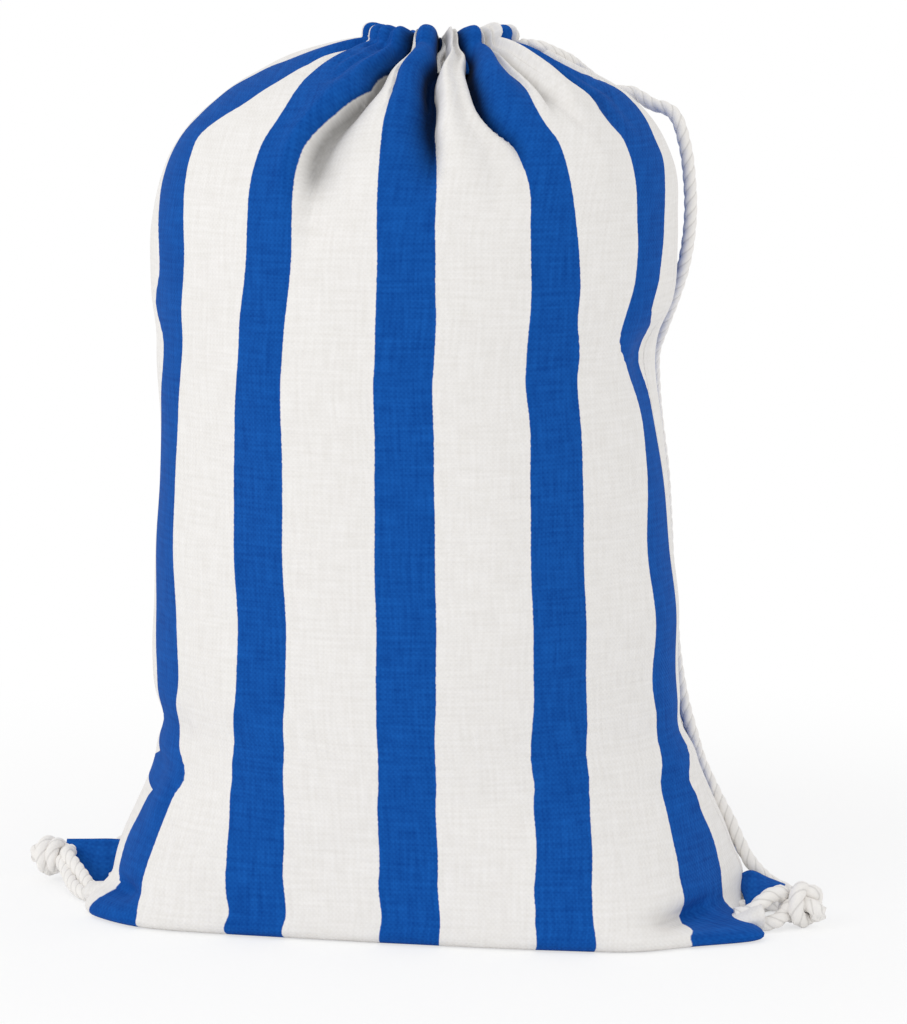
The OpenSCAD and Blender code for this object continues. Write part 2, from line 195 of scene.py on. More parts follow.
def canvasMaterial():
    m, t, shader = startMaterial("cotton_canvas_plain_woven", canvas)
    grain = node(t, "UVMap", uv_map="grain")
    place = node(t, "SeparateXYZ", [node(t, "UVMap", uv_map="cloth")])
    threads = node(t, "SeparateXYZ", [grain])
    # the stripe's edge steps in and out with each crossing thread
    row = node(t, "Math DIVIDE", [threads.outputs["Y"], canvas["thread"]])
    chance = node(t, "TexWhiteNoise", {"W": node(t, "Math FLOOR", [row])}, noise_dimensions="1D")
    wander = node(t, "Math SUBTRACT", [chance.outputs["Value"], 0.5])
    wander = node(t, "Math MULTIPLY", [wander, 2 * canvas["edgeWander"]])
    # blue lies less than half a stripe's width from the middle of the nearest stripe
    across = node(t, "Math ADD", [place.outputs["X"], wander])
    across = node(t, "Math DIVIDE", [across, canvas["pitch"]])
    off = node(t, "Math SUBTRACT", [across, node(t, "Math ROUND", [across])])
    off = node(t, "Math MULTIPLY", [node(t, "Math ABSOLUTE", [off]), canvas["pitch"]])
    half, soft = canvas["width"] / 2, canvas["edgeSoft"]
    blue = node(t, "MapRange", {"From Min": half + soft, "From Max": half - soft, "Value": off})
    # slubs: thicker yarns, long and thin, in the warp and in the weft
    thin, long = 1 / (canvas["slubWidth"] * canvas["thread"]), 1 / canvas["slub"]
    slubs = []
    for scale in ((thin, long, 1), (long, thin, 1)):
        stretch = node(t, "Mapping", {"Scale": scale, "Vector": grain})
        slubs.append(node(t, "TexNoise", {"Scale": 1.0, "Detail": 2.0, "Roughness": 0.6, "Vector": stretch}))
    mottle = node(t, "Math MULTIPLY", [node(t, "Math ADD", slubs), 0.5])
    height = weave(t, threads, canvas["thread"])
    # both colours go from deep or warm to clear with the slubs and a little with the weave
    tone = weightedSum(t, mottle, 1.6, height, 0.1)
    tone = node(t, "MapRange", {"From Min": canvas["toneFrom"], "From Max": canvas["toneTo"], "Value": tone})
    dyes = [node(t, "Mix", {0: tone, 6: linear(canvas[low]), 7: linear(canvas[high])}, data_type="RGBA").outputs[2]
            for low, high in (("whiteWarm", "white"), ("blueDeep", "blue"))]
    colour = node(t, "Mix", {0: blue, 6: dyes[0], 7: dyes[1]}, data_type="RGBA")
    # painted shade: the colour is darkened at the bottom of the gathers, as little light reaches there, and what does
    # has met the same dye twice
    deep = node(t, "SeparateXYZ", [node(t, "UVMap", uv_map="fold")])
    square = node(t, "Math MULTIPLY", [deep.outputs["X"], deep.outputs["X"]])
    loss = node(t, "Math ADD", [canvas["paintedShadeWhite"], node(t, "Math MULTIPLY", [blue, canvas["paintedShadeBlue"]])])
    left = node(t, "Math SUBTRACT", [1.0, node(t, "Math MULTIPLY", [square, loss])])
    shaded = node(t, "VectorMath SCALE", {0: colour.outputs[2], "Scale": left})
    finishMaterial(t, shader, canvas, shaded.outputs[0], weightedSum(t, height, 0.5, mottle, 1.2))
    return m


def tapeMaterial():
    m, t, shader = startMaterial("cotton_tape_woven", tape)
    place = node(t, "SeparateXYZ", [node(t, "TexCoord").outputs["Object"]])
    # a herringbone of fine diagonal threads, mirrored on the tape's own middle
    slant = node(t, "Math ADD", [node(t, "Math ABSOLUTE", [place.outputs["Y"]]), place.outputs["X"]])
    slant = node(t, "Math ADD", [slant, place.outputs["Z"]])
    height = node(t, "Math SINE", [node(t, "Math MULTIPLY", [slant, 2 * np.pi / tape["thread"]])])
    shade = node(t, "MapRange", {"From Min": -1.0, "From Max": 1.0, "Value": height})
    colour = node(t, "Mix", {0: shade, 6: linear(tape["valley"]), 7: linear(tape["colour"])}, data_type="RGBA")
    finishMaterial(t, shader, tape, colour.outputs[2], height)
    return m


def cordMaterial():
    # yarn lines run slantwise over each strand, and the grooves between the strands are darkened with painted shade; in
    # the strand map X is the turn round the cord, in strands, and Y the distance along it
    m, t, shader = startMaterial("cotton_cord_three_strand_twisted", cord)
    place = node(t, "SeparateXYZ", [node(t, "UVMap", uv_map="strand")])
    inStrand = node(t, "Math FRACT", [place.outputs["X"]])
    valley = node(t, "Math ABSOLUTE", [node(t, "Math SUBTRACT", [inStrand, 0.5])])
    turns = node(t, "Math MULTIPLY", [place.outputs["X"], 2 * np.pi * cord["yarn"]])
    along = node(t, "Math MULTIPLY", [place.outputs["Y"], 2 * np.pi / cord["yarnPitch"]])
    yarn = node(t, "Math SINE", [node(t, "Math ADD", [turns, along])])
    fuzz = node(t, "TexNoise", {"Scale": cord["fuzz"], "Detail": 3.0,
                                "Vector": node(t, "TexCoord").outputs["Object"]})
    groove = node(t, "MapRange", {"From Min": cord["grooveFrom"], "From Max": 0.5, "Value": valley})
    soft = node(t, "Math ADD", [node(t, "Math MULTIPLY", [yarn, 0.12]), node(t, "Math SUBTRACT", [fuzz, 0.5])])
    soft = node(t, "Math MULTIPLY", [soft, 0.35])
    dark = node(t, "Math SUBTRACT", [node(t, "Math MULTIPLY", [groove, 0.8]), soft], use_clamp=True)
    colour = node(t, "Mix", {0: dark, 6: linear(cord["colour"]), 7: linear(cord["groove"])}, data_type="RGBA")
    finishMaterial(t, shader, cord, colour.outputs[2], weightedSum(t, yarn, 0.5, fuzz, 0.8))
    return m


# canvas bag, stuffed: its outline in metres
bag = dict(baseWidth=0.332, baseDepth=0.196, flareHeight=0.07, bodyWidth=0.248, bodyDepth=0.202, shoulderWidth=0.254,
           shoulderHeight=0.3138, shoulderDrop=0.1, domePower=2.1, domeRoot=0.62, flarePower=0.8, bulgeShift=0.015,
           neckShift=0.003, neckWidth=0.096, neckDepth=0.084, top=0.422, frontCorner=12.0, backCorner=3.2,
           edgeRadius=0.006, hemRoll=0.0078, hemInside=0.013, holeInset=0.023, flatWidth=0.356, cloth=0.0011)

# rows of cloth from the middle of the base to the inside of the hem, and columns from seam to seam
counts = dict(under=8, edge=6, wall=83, dome=58, neck=1, roll=14, inside=11, columns=268)
hemRow = counts["under"] + counts["edge"] + counts["wall"] + counts["dome"]
rollEnd = hemRow + counts["neck"] + counts["roll"] - 1

# how far the left and right sides stand out from the plain outline, by height
sideHeights = np.array([
    0, 6, 12, 18, 27, 42, 57, 71, 86, 101, 115, 145, 174, 204, 233, 262, 275, 292, 321, 335, 350, 365, 380, 387, 394,
    401, 407, 412.5, 424]) / 1000
leftExtra = np.array([
    -1, -2, -2.9, 0.5, 3.3, 4.1, 2.7, 1, -4, 0.4, 1.4, -0.1, -1.4, -4.4, -5.8, -4.7, -4.8, -2.6, -1.5, -0.4, 2.2,
    4.8, 5.1, 3.9, 3.1, 0.4, -3.9, -15, -13.4]) / 1000
rightExtra = np.array([
    -12, -11, -8.4, -3.4, 2.6, 13.2, 18.6, 17.5, 9.8, 9.2, 8.1, 7.8, 3.7, 0.9, -2, -5.3, -4.4, 1.3, 3.2, 3.6, 5.2,
    5.2, 4, 2.5, 0, -6, -10.5, -9, -3.5]) / 1000

# where the ten stripe edges lie across the front, by height, in thousandths of the way from seam to seam
stripeHeights = np.array([0, 6, 10, 14, 18, 25, 34, 42, 50, 58, 64, 70, 80, 95, 110, 140, 180, 220,
                          245, 262, 275, 290, 305, 320, 335, 350, 362, 372, 380, 387, 393, 399, 405,
                          410, 414, 418, 423]) / 1000
stripeEdges = np.array([
    [160, 232, 331, 393, 496, 559, 660, 721, 817, 913], [160, 232, 331, 393, 496, 559, 660, 721, 817, 917],
    [160, 225, 331, 393, 496, 559, 660, 721, 839, 920], [160, 218, 329, 392, 496, 559, 660, 721, 853, 921],
    [152, 218, 326, 391, 495, 559, 662, 722, 840, 921], [138, 215, 322, 388, 494, 560, 665, 727, 842, 935],
    [120, 207, 317, 384, 495, 562, 671, 734, 853, 944], [119, 199, 311, 382, 495, 564, 677, 742, 861, 946],
    [117, 194, 305, 379, 495, 566, 683, 751, 871, 946], [116, 191, 297, 377, 496, 568, 688, 760, 879, 952],
    [57, 198, 293, 375, 497, 570, 692, 767, 883, 948], [82, 195, 294, 373, 499, 572, 696, 770, 889, 961],
    [55, 165, 292, 372, 501, 575, 699, 777, 907, 996], [95, 166, 300, 376, 505, 579, 704, 784, 911, 989],
    [105, 187, 309, 382, 508, 584, 710, 786, 904, 988], [92, 186, 311, 384, 508, 584, 709, 785, 911, 993],
    [74, 176, 304, 383, 509, 587, 712, 790, 910, 993], [80, 174, 303, 384, 509, 587, 715, 794, 929, 996],
    [106, 183, 309, 384, 512, 590, 719, 796, 932, 994], [131, 195, 316, 386, 514, 592, 717, 796, 904, 979],
    [132, 200, 318, 387, 515, 593, 717, 797, 869, 972], [110, 204, 320, 389, 512, 590, 713, 782, 861, 921],
    [137, 212, 326, 394, 512, 587, 712, 781, 871, 930], [139, 215, 330, 398, 513, 587, 711, 778, 876, 940],
    [122, 204, 326, 393, 509, 584, 709, 772, 874, 945], [101, 188, 318, 384, 503, 581, 706, 764, 872, 947],
    [89, 174, 314, 379, 499, 578, 698, 759, 872, 958], [79, 164, 312, 379, 495, 574, 688, 753, 870, 957],
    [86, 183, 314, 388, 491, 570, 662, 740, 865, 969], [74, 208, 311, 401, 489, 571, 647, 736, 872, 980],
    [80, 223, 306, 415, 490, 572, 644, 740, 889, 988], [105, 239, 299, 436, 494, 574, 652, 752, 890, 985],
    [100, 246, 297, 441, 496, 583, 664, 757, 908, 968], [122, 232, 280, 439, 490, 594, 674, 764, 892, 966],
    [132, 190, 215, 430, 476, 601, 674, 771, 869, 975], [134, 166, 184, 427, 466, 606, 664, 774, 866, 978],
    [134, 166, 184, 427, 466, 606, 664, 774, 866, 978]], float)


def smooth(t):
    t = np.clip(t, 0, 1)
    return t * t * (3 - 2 * t)


def circle(count):
    return np.linspace(0, 2 * np.pi, count, endpoint=False)


def mix(a, b, t):
    return a + (b - a) * t


def curveThrough(xs, ys, x):
    # a cubic through a table of values, whose slope at each is the average of its neighbours
    xs, ys = np.asarray(xs, float), np.asarray(ys, float)
    slope = np.gradient(ys, xs)
    i = np.clip(np.searchsorted(xs, x, side="right") - 1, 0, len(xs) - 2)
    h = xs[i + 1] - xs[i]
    t = np.clip((x - xs[i]) / h, 0, 1)
    return ((1 + 2 * t) * (1 - t) ** 2 * ys[i] + t * (1 - t) ** 2 * h * slope[i]
            + t * t * (3 - 2 * t) * ys[i + 1] + t * t * (t - 1) * h * slope[i + 1])


def distances(points):
    # how far along a line of points each one lies
    return np.concatenate([[0], np.cumsum(np.linalg.norm(np.diff(points, axis=0), axis=1))])


def curveInSpace(at, points, t):
    # such a curve for each of x, y and z
    return np.stack([curveThrough(at, np.array(points)[:, k], t) for k in range(3)], -1)


def levelLine(z, inset, side, count=1201):
    # half of the level outline at each height, from seam to seam: a superellipse, boxy at the base and round in the
    # body, whose width and depth follow the flare and the dome; inset draws it in all round
    z = np.atleast_1d(z)
    flare = smooth(z / bag["flareHeight"])
    up = smooth((z - bag["flareHeight"]) / (bag["shoulderHeight"] - bag["flareHeight"]))
    rise = np.clip((z - bag["shoulderHeight"]) / bag["shoulderDrop"], 0, 1)
    dome = (1 - rise ** bag["domePower"]) ** bag["domeRoot"]
    width = np.where(z < bag["flareHeight"], mix(bag["baseWidth"], bag["bodyWidth"], flare ** bag["flarePower"]),
                     mix(bag["bodyWidth"], bag["shoulderWidth"], up)) / 2
    width = np.where(rise > 0, mix(bag["neckWidth"], bag["shoulderWidth"], dome) / 2, width)
    depth = mix(bag["baseDepth"], bag["bodyDepth"], flare) / 2
    depth = np.where(rise > 0, mix(bag["neckDepth"], bag["bodyDepth"], dome) / 2, depth)
    middle = -bag["bulgeShift"] * flare + (bag["bulgeShift"] - bag["neckShift"]) * smooth(rise)
    left = width + curveThrough(sideHeights, leftExtra, z) - inset
    right = width + curveThrough(sideHeights, rightExtra, z) - inset
    s = np.sin(np.linspace(-np.pi / 2, np.pi / 2, count))[None]
    # powers 2 and 0.5 make an ellipse
    p = mix(bag["frontCorner"] if side < 0 else bag["backCorner"], 2.0, flare ** 0.5)[:, None]
    q = mix(0.8, 0.5, flare)[:, None]
    x = middle[:, None] + np.where(s > 0, right[:, None], left[:, None]) * s
    y = side * (depth - inset)[:, None] * np.clip(1 - np.abs(s) ** p, 0, 1) ** q
    return x, y


def clothRows():
    # height of each row, draw-in of its outline, and how far out it is from the middle seam (0 to 1): the edge of the
    # base is a quarter circle, the dome a sine and the hem a half circle
    r, roll = bag["edgeRadius"], bag["hemRoll"]
    rollBase = bag["top"] - roll
    under = np.linspace(0, 1, counts["under"], endpoint=False)
    edge = np.linspace(0, np.pi / 2, counts["edge"], endpoint=False)
    wall = mix(r, bag["shoulderHeight"], np.linspace(0, 1, counts["wall"], endpoint=False) ** 1.25)
    dome = bag["shoulderHeight"] + bag["shoulderDrop"] * np.sin(np.linspace(0, np.pi / 2, counts["dome"]))
    turn = np.linspace(0, np.pi, counts["roll"] + 1)[1:]
    inside = np.linspace(0, 1, counts["inside"] + 1)[1:]
    z = np.concatenate([0 * under, r * (1 - np.cos(edge)), wall, dome, [mix(dome[-1], rollBase, 0.5)],
                        rollBase + roll * np.sin(turn), rollBase - bag["hemInside"] * inside])
    inset = np.concatenate([r + 0 * under, r * (1 - np.sin(edge)), 0 * wall, 0 * dome, [0], roll * (1 - np.cos(turn)),
                            2 * roll + (bag["holeInset"] - 2 * roll) * smooth(inside * 1.6)])
    return z, inset, np.concatenate([under, np.ones(len(z) - len(under))])


def clothGrid(side):
    # half of the bag on a grid: columns at even distances along each level line, rows as in clothRows; with it the
    # place of each column (0 to 1), how far up the cloth each row is and the length of its level line
    z, inset, out = clothRows()
    x, y = levelLine(z, inset, side)
    step = np.hypot(np.diff(x, axis=1), np.diff(y, axis=1))
    along = np.concatenate([np.zeros((len(z), 1)), np.cumsum(step, axis=1)], axis=1)
    u = np.linspace(0, 1, counts["columns"])
    place = u[None] * along[:, -1:]
    gx = np.stack([np.interp(place[i], along[i], x[i]) for i in range(len(z))])
    gy = np.stack([np.interp(place[i], along[i], y[i]) for i in range(len(z))])
    points = np.stack([gx, gy * out[:, None], np.repeat(z[:, None], len(u), axis=1)], -1)
    return points, u, distances(points[:, len(u) // 2]), along[:, -1]


# cord: real diameter and lay, in metres; visual is the share of the diameter that the strands' crowns reach
rope = dict(diameter=0.006, strands=3, lay=0.0185, groove=0.2, lobePower=0.75, step=0.0013, around=27, visual=1.08)


def smoothPath(points, step):
    # a cubic curve through the points, then points at even distances along it
    chord = distances(points)
    curve = curveInSpace(chord, points, np.linspace(0, chord[-1], 40 * len(points)))
    along = distances(curve)
    even = np.linspace(0, along[-1], max(int(along[-1] / step), 4))
    return np.stack([np.interp(even, along, curve[:, k]) for k in range(3)], -1), even


def carriedFrames(path):
    # directions across a path, each turned from the one before by as little as the path bends
    ahead = np.gradient(path, axis=0)
    ahead /= np.linalg.norm(ahead, axis=1)[:, None]
    side = np.cross(ahead[0], (0.0, 0.0, 1.0) if abs(ahead[0][2]) < 0.9 else (1.0, 0.0, 0.0))
    sides = []
    for direction in ahead:
        side = side - direction * np.dot(side, direction)
        side = side / np.linalg.norm(side)
        sides.append(side)
    sides = np.array(sides)
    return sides, np.cross(ahead, sides)


def ropeMesh(name, points, turn=0.0, size=1.0, cutRound=0.0):
    # a twisted cord: a section of three rounded lobes turns once in each lay as it is carried along the path; a cut
    # end is rounded off as a quarter of an ellipse
    path, along = smoothPath(points, rope["step"])
    sides, ups = carriedFrames(path)
    angle = circle(rope["around"])
    lobe = angle[None] - 2 * np.pi * along[:, None] / rope["lay"] + turn
    crown = np.abs(np.cos(lobe * rope["strands"] / 2)) ** rope["lobePower"]
    radius = 0.5 * rope["diameter"] * rope["visual"] * size * (1 - rope["groove"] * (1 - crown))
    if cutRound:
        toEnd = np.clip((along[-1] - along) / cutRound, 0, 1)
        radius = radius * np.sqrt(np.clip(1 - (1 - toEnd) ** 2, 0.03, 1))[:, None]
    grid = (path[:, None] + radius[..., None] * (np.cos(angle)[None, :, None] * sides[:, None]
                                                 + np.sin(angle)[None, :, None] * ups[:, None]))
    wide = np.linspace(0, 2 * np.pi, rope["around"] + 1)
    turns = (wide[None] - 2 * np.pi * along[:, None] / rope["lay"] + turn) * rope["strands"] / (2 * np.pi) + 0.5
    uv = np.stack([turns, np.repeat(along[:, None], len(wide), axis=1)], -1)
    return gridMesh(name, grid, material["cord"], wrap=True, cap=True, maps={"strand": uv}), path


# free lengths of the cords, the shoulder straps: each route from the channel to the loop at the base, in
# millimetres, and its exit from the channel, in metres
legs = dict(
    right_outer=[
        [40, 4, 413], [50, -3, 412.4], [55.7, 4, 409.3], [61.3, 12, 405.8], [66.2, 24, 400], [72.6, 36, 393.5],
        [78.9, 43, 389.8], [87.1, 44, 389.1], [93.1, 43, 386], [98.2, 41, 383.4], [103.5, 38, 382.4],
        [108.2, 36, 380], [111.4, 34, 375.3], [113.6, 33, 368.7], [115.4, 32, 361.6], [117.2, 31, 348.1],
        [118, 30, 333.9], [117, 30, 319.6], [114.1, 31, 304.6], [109, 34, 289.7], [103.9, 38, 277],
        [99.2, 42, 264.4], [98.8, 44, 249.2], [100.5, 44, 229.6], [104, 40, 208], [105.9, 40, 180.9],
        [106.5, 43, 160.4], [108.6, 42, 140.9], [110.8, 38, 118], [116, 33, 92.9], [120.6, 29, 78.9],
        [125.2, 29, 64.1], [130.1, 26, 54.9], [135.6, 22, 46], [142.2, 16, 36.5], [147.8, 11, 27], [155, 7, 17],
        [163, 8, 10], [171, 8, 6.2], [177.6, 2.6, 4.6]],
    right_inner=[
        [38, 10, 412.5], [48, 14, 410], [58, 26, 403], [68, 46, 392], [79, 60, 378], [88, 66, 362], [94, 68, 340],
        [96, 69, 310], [93, 70, 250], [96, 71, 150], [105, 70, 110], [113.5, 68, 70.5], [124, 64, 45], [137, 53, 26],
        [152, 34, 11], [163.5, 18, 6], [171, 2.6, 4.6]],
    left_outer=[
        [-44, 14, 410], [-55, 26, 408], [-82, 45, 398.5], [-104.4, 62, 374], [-119, 68, 320], [-121, 66, 240],
        [-122, 62, 140], [-127, 58, 70], [-154.1, 43, 20], [-170.9, 25, 9], [-177.6, 2.6, 4.6]],
    left_inner=[
        [-39, 19, 410], [-47, 33, 406.5], [-68, 58, 397.4], [-87.8, 82.7, 359], [-99.1, 86, 300], [-100.9, 86, 220],
        [-102, 84, 130], [-115.1, 77, 66], [-140.9, 65, 19], [-158, 34, 6], [-171, 2.6, 4.6]])
exits = dict(right_outer=(0.0491, -0.0034, 0.4188), right_inner=(0.0491, 0.0034, 0.4188),
             left_outer=(-0.0551, -0.0034, 0.4122), left_inner=(-0.0551, 0.0034, 0.4122))


def makeLegs():
    # each free length is one rope on its own body
    for n, (name, route) in enumerate(legs.items()):
        obj, path = ropeMesh(name + "_strap", np.array(route) / 1000, turn=0.9 * n)
        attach(obj, name + "_strap")
        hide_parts(name + "_leg")


# the held part of each cord: a loop inside the channel, open at its own side seam, in metres, and two runs from the
# back of the corner into the sleeve, outer cord first, in millimetres
drawcords = dict(ringWidth=0.078, ringDepth=0.066, leftLevel=0.3965, rightLevel=0.4028, opening=0.16,
                 exitShare=0.86, exitLane=0.005, mouthOut=0.002, mouthLane=0.0048)
heldRuns = dict(
    left=[[[-177.6, 2.6, 4.65], [-176, -3, 3.8], [-170, -9, 3.3], [-162, -14, 3.3], [-148, -20, 3.6]],
          [[-170.9, 2.6, 4.65], [-169.5, -3, 3.8], [-164, -8, 3.4], [-156, -12, 3.4], [-146, -15, 3.8]]],
    right=[[[177.6, 2.6, 4.65], [176, -3, 4], [170, -9, 3.4], [162, -14, 3.4], [148, -20, 3.8]],
           [[170.9, 2.6, 4.65], [169, -3, 4.2], [163, -7, 4], [155, -10, 4], [144, -13, 4.2]]])


def makeDrawcord(side, level):
    # an oval ring whose two ends run out side by side to where the free lengths begin, and the runs at the corner
    hand = "right" if side > 0 else "left"
    a, b = drawcords["ringWidth"] / 2, drawcords["ringDepth"] / 2
    shift = -bag["neckShift"]
    t = np.linspace(drawcords["opening"], 2 * np.pi - drawcords["opening"], 40)
    ring = np.stack([shift + side * a * np.cos(t), -b * np.sin(t), level + 0 * t], -1)
    first = np.array([[exits[hand + "_outer"][0] * drawcords["exitShare"], -drawcords["exitLane"], level],
                      [shift + side * (a + drawcords["mouthOut"]), -drawcords["mouthLane"], level]])
    last = first[::-1] * np.array([1, -1, 1])
    parts = [ropeMesh("ring", np.concatenate([first, ring, last]))[0]]
    for lane, run in enumerate(heldRuns[hand]):
        parts.append(ropeMesh("run", np.array(run) / 1000, turn=lane)[0])
    name = hand + "_drawcord"
    obj = joinPieces(name + "_held", parts)
    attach(obj, "bag")
    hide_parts(name)


# stopper knots, in metres: away points from the bag along the knot, turn is where the wrap starts, and feeds are the
# cords from the sleeve, wrapping one first; tails are the cut ends, as places along, across and over the knot
stoppers = dict(
    left=dict(
        middle=(-0.1925, -0.013, 0.0118), away=(-0.93, 0.34, 0.03), turn=0.6, big=1.05,
        tails=[(0.0115, -0.001, -0.0012), (0.0135, 0.0015, 0.001)],
        feeds=[[(-0.1565, -0.054, 0.0045), (-0.1635, -0.047, 0.0048), (-0.17, -0.037, 0.0078),
                (-0.178, -0.027, 0.012), (-0.184, -0.018, 0.015)],
               [(-0.159, -0.058, 0.0033), (-0.1665, -0.051, 0.0033), (-0.174, -0.041, 0.0045),
                (-0.1808, -0.029, 0.008), (-0.186, -0.019, 0.011)]]),
    right=dict(
        middle=(0.1825, -0.0365, 0.0108), away=(0.93, -0.34, -0.06), turn=2.4, big=1.15,
        tails=[(0.0108, 0.0015, -0.0062), (0.0128, 0.001, -0.003)],
        feeds=[[(0.153, -0.052, 0.0075), (0.1597, -0.05, 0.0088), (0.1648, -0.046, 0.0128), (0.1692, -0.041, 0.0155),
                (0.1735, -0.038, 0.016)],
               [(0.154, -0.054, 0.0045), (0.161, -0.053, 0.004), (0.1667, -0.051, 0.0038), (0.1715, -0.0475, 0.0044),
                (0.1748, -0.042, 0.0062)]]))
knot = dict(wrapRadius=0.0059, wrapTurns=1.55, wrapLength=0.0078, wrapSwell=0.1, cutRound=0.0012,
            wrapIn=[(-0.0085, 0.003, 0.003)], wrapOut=[(0.0065, -0.0015, -0.0008)],
            core=[(-0.0075, -0.0016, -0.0012), (-0.004, -0.0006, 0.0004), (0.004, 0.0004, 0.0004)])


def makeStopper(side):
    # two cords from the sleeve: the wrapping one goes round the core one in a screw line, then both end in a cut
    facts = stoppers[side]
    middle = np.array(facts["middle"])
    away = np.array(facts["away"]) / np.linalg.norm(facts["away"])
    across = np.cross(away, (0, 0, 1.0))
    across /= np.linalg.norm(across)
    over = np.cross(across, away)

    def local(a, b, c):
        return middle + np.outer(a, away) + np.outer(b, across) + np.outer(c, over)

    t = np.linspace(0, 1, 22)
    angle = facts["turn"] + 2 * np.pi * knot["wrapTurns"] * t
    r = knot["wrapRadius"] * facts["big"] * (1 + knot["wrapSwell"] * np.sin(5 * t))
    coil = local(knot["wrapLength"] * facts["big"] * (t - 0.5) * -1, r * np.cos(angle), r * np.sin(angle))
    wrapping = np.concatenate([np.array(facts["feeds"][0]), local(*np.array(knot["wrapIn"]).T), coil,
                               local(*np.array(knot["wrapOut"] + facts["tails"][:1]).T)])
    core = np.concatenate([np.array(facts["feeds"][1]), local(*np.array(knot["core"] + facts["tails"][1:]).T)])
    obj = joinPieces(side + "_stopper_knot", [
        ropeMesh(label, line, turn, size * facts["big"], knot["cutRound"])[0]
        for label, line, turn, size in (("wrapping", wrapping, 0.4, 1.02), ("core", core, 1.7, 0.98))])
    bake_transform(obj)
    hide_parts(side + "_knot", side + "_cord_ends")


# folded canvas corner above each loop: its top and lower edges from the bag outwards, in millimetres, and its cut
# size, in metres
corners = dict(
    left=dict(
        top=[[-158.5, -3, 19.2], [-164.4, -2, 19.2], [-176.2, -2, 18.7], [-188.4, -2, 18.1]],
        low=[[-157.5, -14, 5.8], [-161.2, -18, 2.1], [-167.3, -20, 1.4], [-175.6, -14, 4.5], [-187.3, -6, 12.2]],
        flat=(0.032, 0.022)),
    right=dict(
        top=[[147.1, -1, 14.1], [154, -2, 17.7], [162.7, -2, 14.6], [171.2, -2, 11.6]],
        low=[[151.4, -12, 8.6], [157.7, -26, 3.4], [164.8, -20, 8.8], [169, -14, 10], [170.7, -4, 10.6]],
        flat=(0.026, 0.020)))
patch = dict(bow=0.0016, doubled=0.0016, stripeWidth=0.02, stripeHeight=0.018, shade=0.35)


def makeCorner(side):
    # a patch ruled between its top and lower edges and bowed a little towards the front, like half a sine
    facts = corners[side]
    t, v = np.linspace(0, 1, 40), np.linspace(0, 1, 26)
    low, top = [curveInSpace(distances(line) / distances(line)[-1], line, t)
                for line in (np.array(facts["low"]) / 1000, np.array(facts["top"]) / 1000)]
    grid = mix(low[None], top[None], v[:, None, None])
    grid[..., 1] -= patch["bow"] * np.sin(np.pi * v)[:, None]
    across = np.repeat((t * patch["stripeWidth"] - patch["stripeWidth"] / 2)[None], len(v), axis=0)
    high = np.repeat(v[:, None] * patch["stripeHeight"], len(t), axis=1)
    # painted shade: the colour darkens towards the lower edge next to the bag, as in the shadow of the fold
    shade = patch["shade"] * (1 - v[:, None]) * (1 - t[None])
    cut = np.stack([across, high], -1)
    maps = {"cloth": cut, "grain": cut, "fold": np.stack([shade, 0 * across], -1)}
    obj = gridMesh(side + "_corner_patch_cloth", grid, material["canvas"], flip=side == "left", maps=maps)
    thicken(obj, patch["doubled"])
    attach(obj, "bag")
    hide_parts(side + "_corner_patch")


# white canvas sleeve at each lower corner, round the cord on its way to the knot: its line, and half its width and
# height at each point, in millimetres
sleeves = dict(
    left=dict(
        line=[[-142, -60, 6], [-150, -59, 6], [-156, -56.5, 5.4], [-161.5, -52.5, 4.6]],
        wide=[8.5, 8.5, 8, 7.4], high=[6, 6, 5.4, 4.8]),
    right=dict(
        line=[[150, -56, 4.5], [155, -54.5, 5.2], [160, -52, 6.2], [164.5, -49, 7]],
        wide=[6, 7.5, 8.2, 8], high=[3, 4.2, 5.6, 6.4]))
# how far back and in the rings of its turned-in mouth go, its rucks, its least height, its cloth and length, and the
# white between two stripes that it is cut from
sleeve = dict(mouthBack=[1.0, 0.97, 0.9], mouthIn=[0.0004, 0.0012, 0.0014], ruck=0.05, rucks=3, floor=0.0003,
              cloth=0.0009, length=0.02, whiteFrom=0.018, whiteTo=0.054)


def makeSleeve(side):
    # an oval tube along a short line, wide at the bag and narrow round the cord, turned in at its mouth
    facts, rings = sleeves[side], 30
    k = np.linspace(0, 1, len(facts["line"]))
    t = np.concatenate([np.linspace(0, 1, rings), sleeve["mouthBack"]])
    line = curveInSpace(k, np.array(facts["line"]) / 1000, t)
    wide, high = [curveThrough(k, np.array(facts[key]) / 1000, t) for key in ("wide", "high")]
    drawIn = np.concatenate([np.zeros(rings), sleeve["mouthIn"]])
    a = circle(48)
    ruck = 1 + sleeve["ruck"] * np.sin(sleeve["rucks"] * a)[None] * np.sin(np.pi * t)[:, None]
    y = (wide - drawIn)[:, None] * np.cos(a)[None] * ruck
    z = (high - drawIn)[:, None] * np.sin(a)[None] * ruck
    # sections stand square to the line as seen from above
    heading = line[rings - 2] - line[0]
    square = np.array([-heading[1], heading[0], 0]) / np.hypot(heading[0], heading[1])
    square = square * np.sign(square[1])
    grid = line[:, None] + y[..., None] * square + z[..., None] * np.array([0, 0, 1.0])
    grid[..., 2] = np.maximum(grid[..., 2], sleeve["floor"])
    length = np.linspace(0, sleeve["length"], len(t))
    around = np.linspace(sleeve["whiteFrom"], sleeve["whiteTo"], len(a) + 1)
    cut = np.stack([np.repeat(around[None], len(t), 0), np.repeat(length[:, None], len(around), 1)], -1)
    maps = {"cloth": cut, "grain": cut, "fold": 0 * cut}
    obj = gridMesh(side + "_corner_sleeve", grid, material["canvas"], wrap=True, flip=side == "left", maps=maps)
    thicken(obj, sleeve["cloth"])
    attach(obj, "bag")
    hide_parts(side + "_corner_loop")


# seam tape: how far inside the cloth its middle lies, how much further its edges, and its size, in metres
seamTape = dict(inside=0.0024, edges=0.0012, half=0.004, thickness=0.0008, lowest=0.012)


